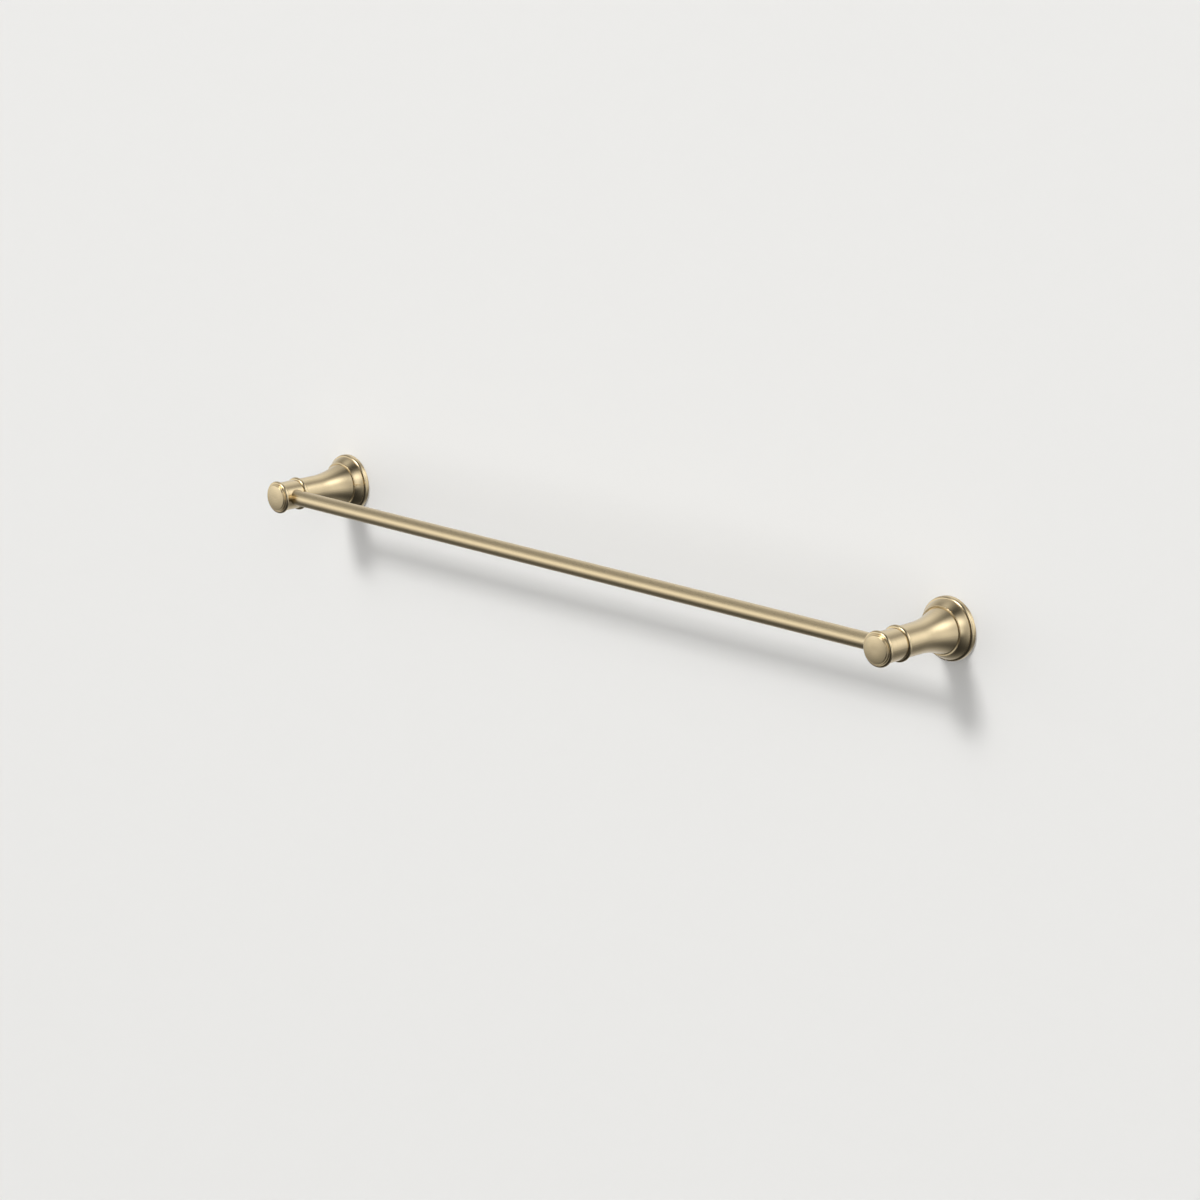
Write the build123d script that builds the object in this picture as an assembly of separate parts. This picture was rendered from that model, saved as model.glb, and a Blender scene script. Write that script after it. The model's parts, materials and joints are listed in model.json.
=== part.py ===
from build123d import *
import os

# Towel rail, in millimetres: X runs along the bar, +Z is up, the wall is the plane y = 0 and the rail stands out
# towards -Y. Turned pieces are drawn as (radius, distance from the wall) and spun about the post's axis.

# Layout
post_spacing = 610.0
bar_standoff = 63.5

# Bar: drawn tube, cross-drilled for the cap studs
bar_d = 12.0
bar_wall = 1.0
socket_past_axis = 7.5
bar_end_gap = 0.2

# Wall flange: quarter-round rim, quirk, ovolo. Turns are in degrees, from the post's direction
flange_d = 44.8
flange_height = 9.8
rim_straight = 1.9
rim_round = 1.9
rim_turn = 80.0
quirk_width = 0.4
quirk_depth = 0.25
ovolo_foot_d = 41.7
ovolo_foot_round = 0.3
ovolo_foot_turn = 25.0
flange_front_d = 34.8
flange_front_round = 0.6
cavity_land = 0.4

# Post: lip, bell and neck
lip_round = 0.3
lip_gap = 0.1
bell_inset = 1.3
bell_length = 26.0
neck_d = 22.3
register_d = 16.0
register_depth = 1.2

# Knuckle, between a bead on the neck and the cap's bead
knuckle_back = 7.6
knuckle_front = 8.1
neck_bead_length = 3.4
neck_bead_height = 1.6

# Cap: bead, ring and raised face
cap_bead_length = 3.2
cap_bead_height = 1.4
cap_ring_d = 21.2
cap_ring_height = 1.0
cap_face_d = 19.4
cap_face_height = 0.6
cap_face_dome = 0.6
cap_flat_d = 3.0
cap_edge_round = 0.4

# Wall bracket: disc with a V-groove round its edge and two countersunk holes
bracket_thickness = 6.0
groove_station = 2.1
groove_depth = 0.8
screw_pitch = 22.0
screw_hole_d = 4.5
screw_head_d = 8.4

# Screws and studs, with plain shanks in place of fine threads
grub_d = 3.0
grub_length = 5.0
grub_hex = 1.5
grub_hex_depth = 1.3
grub_point_d = 0.6
post_screw_d = 6.0
post_screw_grip = 12.0
post_screw_head_d = 10.0
post_screw_head_height = 4.0
post_screw_hex = 5.0
post_screw_hex_depth = 2.4
stud_d = 5.0
stud_in_post = 5.5
stud_in_cap = 4.0
stud_chamfer = 0.5

# Clearances
socket_clearance = 0.05
register_clearance = 0.05
bracket_clearance = 0.2
bracket_end_clearance = 0.3
thread_clearance = 0.03
hole_clearance = 0.2
hole_end_clearance = 0.5

# Stations along the post, from the wall
cavity_depth = bracket_thickness + bracket_end_clearance
lip_station = flange_height + lip_gap + lip_round
bell_start = lip_station + lip_round
bell_end = flange_height + bell_length
neck_bead_start = bar_standoff - knuckle_back - neck_bead_length
cap_seat = bar_standoff + knuckle_front
cap_bead_end = cap_seat + cap_bead_length
cap_ring_end = cap_bead_end + cap_ring_height
cap_face = cap_ring_end + cap_face_height
socket_back = bar_standoff - bar_d / 2 - socket_clearance
stud_start = socket_back - stud_in_post
stud_end = cap_seat + stud_in_cap

# Radii
neck_r = neck_d / 2
lip_r = flange_front_d / 2
cavity_r = flange_front_d / 2 - cavity_land
bracket_r = cavity_r - bracket_clearance
grub_r = grub_d / 2
stud_r = stud_d / 2


def spin(*lines):
    """Solid of revolution about the post's axis, from the lines of a closed profile."""
    profile = make_face([edge for line in lines for edge in line.edges()])
    return revolve(Plane.XZ * profile, Axis.Z)


def drill(radius, start, end):
    """Round cutter along the post's axis between two stations."""
    return Pos(0, 0, start) * Cylinder(radius, end - start, align=(Align.CENTER, Align.CENTER, Align.MIN))


def hex_bit(across_flats, start, end):
    """Hexagon cutter along the post's axis between two stations."""
    flats = RegularPolygon(across_flats / 2, 6, major_radius=False)
    return Pos(0, 0, start) * extrude(flats, end - start)


def bead(station, length, height):
    """Round bead standing on the neck's radius, starting at a station."""
    crest = (neck_r + height, station + length / 2)
    return ThreePointArc((neck_r, station), crest, (neck_r, station + length))


def grub_axis(length_from_axis):
    """Place for a cutter or screw that points from the post's axis straight down, at the bracket's groove."""
    return Pos(0, -length_from_axis, groove_station) * Rot(90, 0, 0)


def flange():
    rim_r = flange_d / 2
    foot_r = ovolo_foot_d / 2
    front_r = flange_front_d / 2
    register_r = register_d / 2 + register_clearance
    register_floor = flange_height - register_depth - register_clearance
    rim = Polyline((cavity_r, cavity_depth), (cavity_r, 0), (rim_r, 0), (rim_r, rim_straight))
    rim_edge = JernArc(rim @ 1, (0, 1), rim_round, rim_turn)
    rim_end = (rim_edge @ 1).Y
    quirk_r = foot_r - quirk_depth
    ovolo_start = rim_end + quirk_width
    quirk = Polyline(rim_edge @ 1, (quirk_r, rim_end), (quirk_r, ovolo_start), (foot_r, ovolo_start))
    ovolo_foot = JernArc(quirk @ 1, (0, 1), ovolo_foot_round, ovolo_foot_turn)
    ovolo = TangentArc(ovolo_foot @ 1, (front_r, flange_height), tangent=ovolo_foot % 1)
    hole_r = post_screw_d / 2 + hole_clearance
    inside = Polyline(
        ovolo @ 1,
        (register_r, flange_height),
        (register_r, register_floor),
        (hole_r, register_floor),
        (hole_r, cavity_depth),
        rim @ 0,
    )
    grub_hole = Cylinder(grub_r + thread_clearance, rim_r, align=(Align.CENTER, Align.CENTER, Align.MIN))
    body = spin(rim, rim_edge, quirk, ovolo_foot, ovolo, inside)
    front_rings = body.edges().filter_by_position(Axis.Z, flange_height, flange_height)
    body = fillet(front_rings.sort_by(SortBy.RADIUS)[-1], flange_front_round)
    return body - grub_axis(bracket_r) * grub_hole


def post(side):
    lip_foot_r = lip_r - lip_round
    register_r = register_d / 2
    register_floor = flange_height - register_depth
    seat = Polyline(
        (0, register_floor),
        (register_r, register_floor),
        (register_r, flange_height),
        (lip_foot_r, flange_height),
        (lip_foot_r, flange_height + lip_gap),
    )
    lip = ThreePointArc(seat @ 1, (lip_r, lip_station), (lip_foot_r, bell_start))
    foot = Line(lip @ 1, (lip_r - bell_inset, bell_start))
    bell = TangentArc((neck_r, bell_end), foot @ 1, tangent=(0, -1))
    neck = Line(bell @ 0, (neck_r, neck_bead_start))
    neck_bead = bead(neck_bead_start, neck_bead_length, neck_bead_height)
    knuckle = Polyline(neck_bead @ 1, (neck_r, cap_seat), (0, cap_seat), (0, register_floor))
    body = spin(seat, lip, foot, bell, neck, neck_bead, knuckle)
    socket_length = socket_past_axis + neck_d
    socket = Cylinder(bar_d / 2 + socket_clearance, socket_length, align=(Align.CENTER, Align.CENTER, Align.MAX))
    body -= Pos(side * socket_past_axis, 0, bar_standoff) * Rot(0, 90 * side, 0) * socket
    body -= drill(stud_r + thread_clearance, stud_start - hole_end_clearance, cap_seat)
    screw_end = cavity_depth + post_screw_grip + hole_end_clearance
    return body - drill(post_screw_d / 2 + thread_clearance, register_floor, screw_end)


def cap():
    ring_r = cap_ring_d / 2
    face_r = cap_face_d / 2
    back = Line((0, cap_seat), (neck_r, cap_seat))
    cap_bead = bead(cap_seat, cap_bead_length, cap_bead_height)
    ring = Polyline(cap_bead @ 1, (ring_r, cap_bead_end), (ring_r, cap_ring_end - cap_edge_round))
    ring_edge = RadiusArc(ring @ 1, (ring_r - cap_edge_round, cap_ring_end), -cap_edge_round)
    step = Polyline(ring_edge @ 1, (face_r, cap_ring_end), (face_r, cap_face - cap_edge_round))
    cap_top = cap_face + cap_face_dome
    centre = Polyline(back @ 0, (0, cap_top), (cap_flat_d / 2, cap_top))
    dome = TangentArc(centre @ 1, (face_r - cap_edge_round, cap_face), tangent=(1, 0))
    face_edge = TangentArc(dome @ 1, step @ 1, tangent=dome % 1)
    body = spin(back, cap_bead, ring, ring_edge, step, face_edge, dome, centre)
    return body - drill(stud_r + thread_clearance, cap_seat, stud_end + hole_end_clearance)


def wall_bracket():
    head_r = screw_head_d / 2
    hole_r = screw_hole_d / 2
    groove_r = bracket_r - groove_depth
    centre_r = post_screw_head_d / 2 + hole_clearance
    disc = Polyline(
        (centre_r, 0),
        (bracket_r, 0),
        (bracket_r, groove_station - groove_depth),
        (groove_r, groove_station),
        (bracket_r, groove_station + groove_depth),
        (bracket_r, bracket_thickness),
        (centre_r, bracket_thickness),
        (centre_r, 0),
    )
    body = spin(disc)
    sink_depth = head_r - hole_r
    sink = Cone(hole_r, head_r, sink_depth, align=(Align.CENTER, Align.CENTER, Align.MAX))
    for way in (-1, 1):
        hole_axis = Pos(0, way * screw_pitch / 2, 0)
        body -= hole_axis * drill(hole_r, 0, bracket_thickness)
        body -= hole_axis * Pos(0, 0, bracket_thickness) * sink
    return body


def grub_screw():
    """Cone point in the bracket's groove, head inside the flange's rim."""
    point_r = grub_point_d / 2
    tip = bracket_r - groove_depth + point_r + thread_clearance
    shank_start = tip + grub_r - point_r
    shank_end = tip + grub_length
    shank = grub_axis(shank_start) * Cylinder(
        grub_r, shank_end - shank_start, align=(Align.CENTER, Align.CENTER, Align.MIN)
    )
    cone = grub_axis(tip) * Cone(point_r, grub_r, grub_r - point_r, align=(Align.CENTER, Align.CENTER, Align.MIN))
    flats = RegularPolygon(grub_hex / 2, 6, major_radius=False)
    return shank + cone - grub_axis(shank_end - grub_hex_depth) * extrude(flats, grub_hex_depth)


def post_screw():
    """Cap screw from behind, its head against the flange's web and its shank in the post."""
    head_start = cavity_depth - post_screw_head_height
    head = drill(post_screw_head_d / 2, head_start, cavity_depth)
    shank = drill(post_screw_d / 2, cavity_depth, cavity_depth + post_screw_grip)
    return head + shank - hex_bit(post_screw_hex, head_start, head_start + post_screw_hex_depth)


def cap_stud():
    stud = drill(stud_r, stud_start, stud_end)
    return chamfer(stud.edges().filter_by(GeomType.CIRCLE), stud_chamfer)


def rail_bar():
    length = post_spacing + 2 * (socket_past_axis - bar_end_gap)
    tube = Cylinder(bar_d / 2, length) - Cylinder(bar_d / 2 - bar_wall, length)
    bar = Pos(0, -bar_standoff, 0) * Rot(0, 90, 0) * tube
    cross_hole = Rot(90, 0, 0) * drill(stud_r + hole_clearance, bar_standoff - bar_d, bar_standoff + bar_d)
    for side in (-1, 1):
        bar -= Pos(side * post_spacing / 2, 0, 0) * cross_hole
    return bar


def at_post(side, piece):
    """Stands a piece drawn along the post's axis on the wall, at the left (-1) or right (1) post."""
    return Pos(side * post_spacing / 2, 0, 0) * Rot(90, 0, 0) * piece


os.makedirs("parts", exist_ok=True)
nodes = {"rail_bar": rail_bar()}
sides = {"left": -1, "right": 1}
for name, side in sides.items():
    nodes[f"{name}_flange"] = at_post(side, flange())
    nodes[f"{name}_post"] = at_post(side, post(side))
    nodes[f"{name}_cap"] = at_post(side, cap())
    nodes[f"{name}_wall_bracket"] = at_post(side, wall_bracket())
fasteners = {"grub_screws": grub_screw(), "post_screws": post_screw(), "cap_studs": cap_stud()}
for name, piece in fasteners.items():
    nodes[name] = Compound([at_post(side, piece).solid() for side in sides.values()])
for name, piece in nodes.items():
    export_step(piece, f"parts/{name}.step")
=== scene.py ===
import json
import math

import bmesh
import bpy
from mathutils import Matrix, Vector


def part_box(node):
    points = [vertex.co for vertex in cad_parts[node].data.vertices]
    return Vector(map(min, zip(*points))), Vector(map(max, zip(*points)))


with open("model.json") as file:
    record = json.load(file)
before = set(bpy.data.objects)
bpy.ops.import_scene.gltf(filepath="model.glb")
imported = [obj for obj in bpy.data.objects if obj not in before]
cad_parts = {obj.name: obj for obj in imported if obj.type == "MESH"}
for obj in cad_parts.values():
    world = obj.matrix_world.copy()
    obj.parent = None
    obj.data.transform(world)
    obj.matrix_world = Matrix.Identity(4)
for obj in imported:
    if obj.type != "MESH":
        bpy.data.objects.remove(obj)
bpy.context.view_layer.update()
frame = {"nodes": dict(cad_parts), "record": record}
nodes = frame["nodes"]
print("frame loaded with", len(nodes), "pieces")

# axes of the posts and the bar, from the frame
flangeLow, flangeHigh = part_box("right_flange")
postX = (flangeLow.x + flangeHigh.x) / 2
barLow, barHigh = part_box("rail_bar")
barY = (barLow.y + barHigh.y) / 2
barZ = (barLow.z + barHigh.z) / 2
barRadius = (barHigh.z - barLow.z) / 2


# small helpers for node trees and objects

def addNode(tree, kind, label="", **settings):
    node = tree.nodes.new(kind)
    node.label = label
    for name, value in settings.items():
        setattr(node, name, value)
    return node


def setInput(node, name, value):
    node.inputs[name].default_value = value


def mathNode(tree, operation, first, second=None):
    node = addNode(tree, "ShaderNodeMath", operation=operation)
    for socket, value in zip(node.inputs, (first, second)):
        if value is None:
            continue
        if isinstance(value, (int, float)):
            socket.default_value = value
        else:
            tree.links.new(value, socket)
    return node.outputs[0]


def newMaterial(name):
    material = bpy.data.materials.new(name)
    material.use_nodes = True
    tree = material.node_tree
    tree.nodes.clear()
    output = addNode(tree, "ShaderNodeOutputMaterial")
    return material, tree, output


def addObject(name, data):
    obj = bpy.data.objects.new(name, data)
    bpy.context.scene.collection.objects.link(obj)
    return obj


# brush lines: where they lie on a turned piece and on the bar

brushLines = {
    "detail": 3.0,
    "grit": 0.6,
    "toneLow": 0.3,          # noise levels of the deep and the light tone
    "toneHigh": 0.7,
    "turnRadius": 0.012,     # m from the post's axis, where lengths round it are measured
}


def objectPoint(tree):
    coordinates = addNode(tree, "ShaderNodeTexCoord")
    split = addNode(tree, "ShaderNodeSeparateXYZ")
    tree.links.new(coordinates.outputs["Object"], split.inputs["Vector"])
    return split.outputs


def turnedLines(tree):
    # lines run round the nearer post's axis
    point = objectPoint(tree)
    side = mathNode(tree, "SIGN", point["X"])
    offset = mathNode(tree, "SUBTRACT", point["X"], mathNode(tree, "MULTIPLY", side, postX))
    offsetSquared = mathNode(tree, "POWER", offset, 2.0)
    heightSquared = mathNode(tree, "POWER", point["Z"], 2.0)
    radius = mathNode(tree, "SQRT", mathNode(tree, "ADD", offsetSquared, heightSquared))
    across = mathNode(tree, "ADD", radius, point["Y"])
    angle = mathNode(tree, "ARCTAN2", point["Z"], offset)
    along = mathNode(tree, "MULTIPLY", angle, brushLines["turnRadius"])
    around = addNode(tree, "ShaderNodeCombineXYZ", "round the post")
    tree.links.new(point["Z"], around.inputs["X"])
    tree.links.new(mathNode(tree, "MULTIPLY", offset, -1.0), around.inputs["Z"])
    return across, along, around.outputs["Vector"]


def drawnLines(tree):
    # lines run along the bar
    point = objectPoint(tree)
    y = mathNode(tree, "SUBTRACT", point["Y"], barY)
    z = mathNode(tree, "SUBTRACT", point["Z"], barZ)
    across = mathNode(tree, "MULTIPLY", mathNode(tree, "ARCTAN2", z, y), barRadius)
    around = addNode(tree, "ShaderNodeCombineXYZ", "round the bar")
    tree.links.new(z, around.inputs["Y"])
    tree.links.new(mathNode(tree, "MULTIPLY", y, -1.0), around.inputs["Z"])
    return across, point["X"], around.outputs["Vector"]


def brushedMetal(name, finish, placeLines):
    # across and along are lengths on the surface: the lines run along, and vary across
    material, tree, output = newMaterial(name)
    links = tree.links
    across, along, around = placeLines(tree)
    shader = addNode(tree, "ShaderNodeBsdfPrincipled", name)
    setInput(shader, "Metallic", 1.0)
    setInput(shader, "Anisotropic", finish["anisotropy"])
    setInput(shader, "Anisotropic Rotation", finish["spreadTurn"])
    links.new(around, shader.inputs["Tangent"])
    place = addNode(tree, "ShaderNodeCombineXYZ", "brush coordinates")
    links.new(mathNode(tree, "DIVIDE", across, finish["lineWidth"]), place.inputs["X"])
    links.new(mathNode(tree, "DIVIDE", along, finish["lineRun"]), place.inputs["Y"])
    lines = addNode(tree, "ShaderNodeTexNoise", "brush lines", noise_dimensions="2D")
    setInput(lines, "Scale", 1.0)
    setInput(lines, "Detail", brushLines["detail"])
    setInput(lines, "Roughness", brushLines["grit"])
    links.new(place.outputs["Vector"], lines.inputs["Vector"])
    tone = addNode(tree, "ShaderNodeValToRGB", "metal tone")
    deep, light = tone.color_ramp.elements
    deep.position = brushLines["toneLow"]
    deep.color = finish["deep"]
    light.position = brushLines["toneHigh"]
    light.color = finish["light"]
    links.new(lines.outputs["Fac"], tone.inputs["Fac"])
    links.new(tone.outputs["Color"], shader.inputs["Base Color"])
    gloss = addNode(tree, "ShaderNodeMapRange", "satin")
    setInput(gloss, "To Min", finish["roughLow"])
    setInput(gloss, "To Max", finish["roughHigh"])
    links.new(lines.outputs["Fac"], gloss.inputs["Value"])
    links.new(gloss.outputs["Result"], shader.inputs["Roughness"])
    bump = addNode(tree, "ShaderNodeBump", "brush relief")
    setInput(bump, "Strength", finish["lineBump"])
    setInput(bump, "Distance", finish["lineDepth"])
    links.new(lines.outputs["Fac"], bump.inputs["Height"])
    links.new(bump.outputs["Normal"], shader.inputs["Normal"])
    links.new(shader.outputs["BSDF"], output.inputs["Surface"])
    return material


# brushed champagne brass, turned on the posts and drawn along the bar

brass = {
    "deep": (0.70, 0.57, 0.355, 1.0),
    "light": (0.77, 0.63, 0.400, 1.0),
    "roughLow": 0.18,
    "roughHigh": 0.22,
    "lineWidth": 0.00022,    # m across one brush line
    "lineRun": 0.012,        # m along it
    "lineBump": 0.15,
    "lineDepth": 0.00001,
    "anisotropy": 0.2,
    "spreadTurn": 0.25,      # turns, so that highlights spread across the lines
}
drawnBrass = dict(brass, roughLow=0.26, roughHigh=0.30, anisotropy=0.3, spreadTurn=0.0)

# plain turned steel for the fixings behind

steel = {
    "deep": (0.42, 0.42, 0.42, 1.0),
    "light": (0.56, 0.56, 0.555, 1.0),
    "roughLow": 0.3,
    "roughHigh": 0.42,
    "lineWidth": 0.0003,
    "lineRun": 0.01,
    "lineBump": 0.1,
    "lineDepth": 0.00001,
    "anisotropy": 0.3,
    "spreadTurn": 0.25,
}

turnedBrass = brushedMetal("turnedBrass", brass, turnedLines)
barBrass = brushedMetal("barBrass", drawnBrass, drawnLines)
turnedSteel = brushedMetal("turnedSteel", steel, turnedLines)

finishes = {"brass": turnedBrass, "steel": turnedSteel}
slots = {part["node"]: part["material_slot"] for part in frame["record"]["subparts"]}
for name, node in nodes.items():
    finish = barBrass if name == "rail_bar" else finishes[slots[name]]
    node.data.materials.clear()
    node.data.materials.append(finish)
print("finishes set on", len(nodes), "pieces")

# the wall: plain pale paint, seen from the room only

wall = {
    "size": 8.0,
    "gap": 0.0002,           # m behind the flanges
    "colour": (0.80, 0.795, 0.778, 1.0),
}


def paleWall():
    half = wall["size"] / 2
    back = wall["gap"]
    mesh = bpy.data.meshes.new("wall")
    corners = [(-half, back, -half), (half, back, -half), (half, back, half), (-half, back, half)]
    mesh.from_pydata(corners, [], [(0, 1, 2, 3)])
    piece = addObject("wall", mesh)
    material, tree, output = newMaterial("wallPaint")
    paint = addNode(tree, "ShaderNodeBsdfDiffuse", "paint")
    setInput(paint, "Color", wall["colour"])
    clear = addNode(tree, "ShaderNodeBsdfTransparent", "open from behind")
    side = addNode(tree, "ShaderNodeNewGeometry")
    mix = addNode(tree, "ShaderNodeMixShader")
    tree.links.new(side.outputs["Backfacing"], mix.inputs["Fac"])
    tree.links.new(paint.outputs["BSDF"], mix.inputs[1])
    tree.links.new(clear.outputs["BSDF"], mix.inputs[2])
    tree.links.new(mix.outputs["Shader"], output.inputs["Surface"])
    mesh.materials.append(material)
    piece.visible_glossy = False    # the metal mirrors the glows all round it
    piece.visible_shadow = False


# a pale room for views that look past the wall, seen by the camera only

room = {
    "size": 40.0,
    "colour": (0.83, 0.83, 0.81, 1.0),
}


def paleRoom():
    mesh = bpy.data.meshes.new("room")
    shape = bmesh.new()
    bmesh.ops.create_cube(shape, size=room["size"])
    shape.to_mesh(mesh)
    shape.free()
    piece = addObject("room", mesh)
    material, tree, output = newMaterial("roomPaint")
    paint = addNode(tree, "ShaderNodeEmission", "paint")
    setInput(paint, "Color", room["colour"])
    tree.links.new(paint.outputs["Emission"], output.inputs["Surface"])
    mesh.materials.append(material)
    piece.visible_diffuse = False
    piece.visible_glossy = False
    piece.visible_transmission = False
    piece.visible_shadow = False


paleWall()
paleRoom()

# soft glows all round the rail, mirrored by the metal: azimuth 0 is straight out from the wall and 90 to
# the right, and a glow is half as strong at its spread, all in degrees

glows = {
    "key": {"azimuth": -15, "elevation": 40, "spread": 8, "strength": 10.0},
    "leftFront": {"azimuth": -40, "elevation": 5, "spread": 20, "strength": 1.2},
    "leftSide": {"azimuth": -80, "elevation": 5, "spread": 20, "strength": 0.9},
    "leftBack": {"azimuth": -130, "elevation": 0, "spread": 30, "strength": 0.6},
    "leftHigh": {"azimuth": -60, "elevation": 65, "spread": 15, "strength": 0.6},
    "backHigh": {"azimuth": -150, "elevation": 45, "spread": 25, "strength": 0.8},
    "right": {"azimuth": 60, "elevation": 30, "spread": 15, "strength": 1.8},
    "rightLow": {"azimuth": 60, "elevation": 0, "spread": 10, "strength": 1.0},
    "rightSide": {"azimuth": 110, "elevation": 0, "spread": 25, "strength": 0.9},
    "rightHigh": {"azimuth": 120, "elevation": 40, "spread": 15, "strength": 2.0},
    "rightBack": {"azimuth": 155, "elevation": 10, "spread": 15, "strength": 1.5},
    "below": {"azimuth": -160, "elevation": -40, "spread": 25, "strength": 0.5},
}
studio = {
    "grey": 0.03,            # between the glows
    "colour": (1.0, 1.0, 1.0, 1.0),
}

# lamps for the wall only, a small one that throws the shadows and a wide one in front

wallLamps = {
    "wallKey": {"azimuth": -12, "elevation": 38, "wide": 11, "high": 9, "glow": 38.0},
    "wallFill": {"azimuth": 5, "elevation": 0, "wide": 70, "high": 60, "glow": 0.67},
}
lampDistance = 15.0          # m, with wide and high in degrees as seen from the rail


def aim(obj, place, target):
    obj.location = place
    obj.rotation_mode = "QUATERNION"
    obj.rotation_quaternion = (target - place).to_track_quat("-Z", "Y")


def outwards(azimuth, elevation):
    turn = math.radians(azimuth)
    rise = math.radians(elevation)
    return Vector((math.sin(turn) * math.cos(rise), -math.cos(turn) * math.cos(rise), math.sin(rise)))


def wallLamp(name, box):
    lamp = bpy.data.lights.new(name, "AREA")
    lamp.shape = "RECTANGLE"
    lamp.size = 2 * lampDistance * math.tan(math.radians(box["wide"] / 2))
    lamp.size_y = 2 * lampDistance * math.tan(math.radians(box["high"] / 2))
    lamp.energy = box["glow"] * math.pi * lamp.size * lamp.size_y
    obj = addObject(name, lamp)
    aim(obj, outwards(box["azimuth"], box["elevation"]) * lampDistance, Vector((0, 0, 0)))
    obj.visible_camera = False
    obj.visible_glossy = False


def glowWorld():
    world = bpy.data.worlds.new("studio")
    world.use_nodes = True
    tree = world.node_tree
    direction = addNode(tree, "ShaderNodeTexCoord").outputs["Generated"]
    total = studio["grey"]
    for name, glow in glows.items():
        towards = addNode(tree, "ShaderNodeVectorMath", name, operation="DOT_PRODUCT")
        tree.links.new(direction, towards.inputs[0])
        towards.inputs[1].default_value = outwards(glow["azimuth"], glow["elevation"])
        falloff = math.log(2) / (1 - math.cos(math.radians(glow["spread"])))
        offCentre = mathNode(tree, "SUBTRACT", towards.outputs["Value"], 1.0)
        fall = mathNode(tree, "MULTIPLY", offCentre, falloff)
        light = mathNode(tree, "MULTIPLY", mathNode(tree, "EXPONENT", fall), glow["strength"])
        total = mathNode(tree, "ADD", light, total)
    tree.links.new(total, tree.nodes["Background"].inputs["Strength"])
    setInput(tree.nodes["Background"], "Color", studio["colour"])
    bpy.context.scene.world = world


for name, box in wallLamps.items():
    wallLamp(name, box)
glowWorld()
print("wall,", len(wallLamps), "lamps and", len(glows), "glows set")

# camera, as in the photo

photoCamera = {
    "azimuth": 45.0,
    "elevation": 15.0,
    "distance": 2.538,
    "target": (0.01116, -0.03746, -0.02910),
    "lens": 105.5,           # mm
    "sensor": 36.0,          # mm
}


def viewCamera():
    camera = bpy.data.cameras.new("photoCamera")
    camera.lens = photoCamera["lens"]
    camera.sensor_width = photoCamera["sensor"]
    obj = addObject("photoCamera", camera)
    target = Vector(photoCamera["target"])
    away = outwards(photoCamera["azimuth"], photoCamera["elevation"])
    aim(obj, target + away * photoCamera["distance"], target)
    bpy.context.scene.camera = obj


viewCamera()
bpy.context.scene.view_settings.view_transform = "Standard"
print("camera set")
